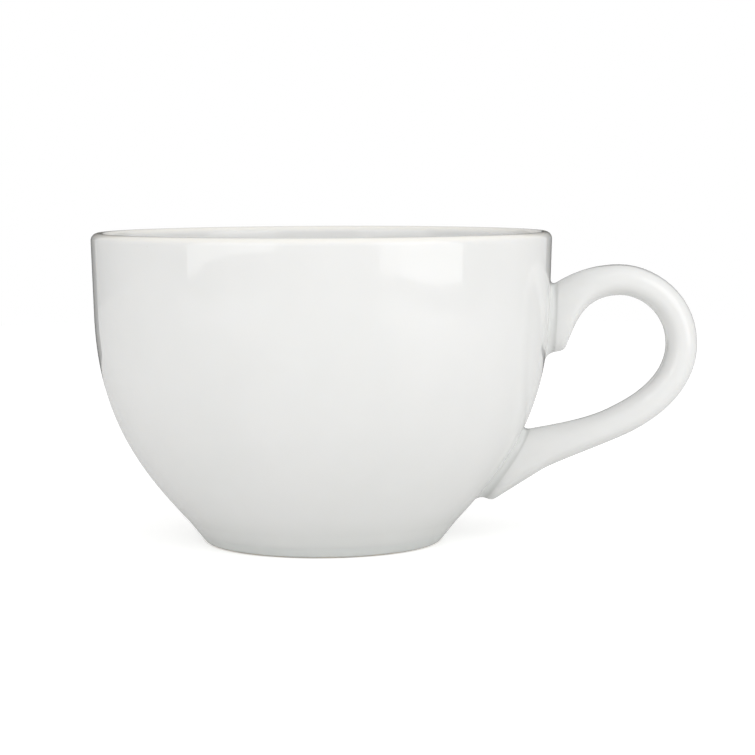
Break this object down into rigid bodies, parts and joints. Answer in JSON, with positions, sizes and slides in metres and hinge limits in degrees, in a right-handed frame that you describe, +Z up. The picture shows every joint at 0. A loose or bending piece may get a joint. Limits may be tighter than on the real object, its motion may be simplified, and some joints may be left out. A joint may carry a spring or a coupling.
{
  "type": "cappuccino cup",
  "caption": "Round-bellied glazed porcelain cup with a rolled lip, a low foot ring and an ear-shaped side handle, for hot drinks.",
  "frame": {"origin": "on the bowl's axis, in the plane of the foot's flat face, which is the table", "axes": "+Z up along the bowl's axis, +X towards the handle, +Y away from a viewer who has the handle on the right"},
  "size_m": [0.1384, 0.105, 0.071],
  "materials": {
    "white_glaze": "smooth high-gloss clear glaze over white porcelain",
    "slip_glaze": "the same clear glaze, lying a little thicker over the beads of slip",
    "foot_porcelain": "glazed on its sides, wiped bare and smooth-ground on the flat face that stands on the table"
  },
  "bodies": {
    "root": {"cup_bowl": "white_glaze", "foot_ring": "foot_porcelain", "handle": "white_glaze", "upper_slip_joint": "slip_glaze", "lower_slip_joint": "slip_glaze"}
  },
  "joints": []
}
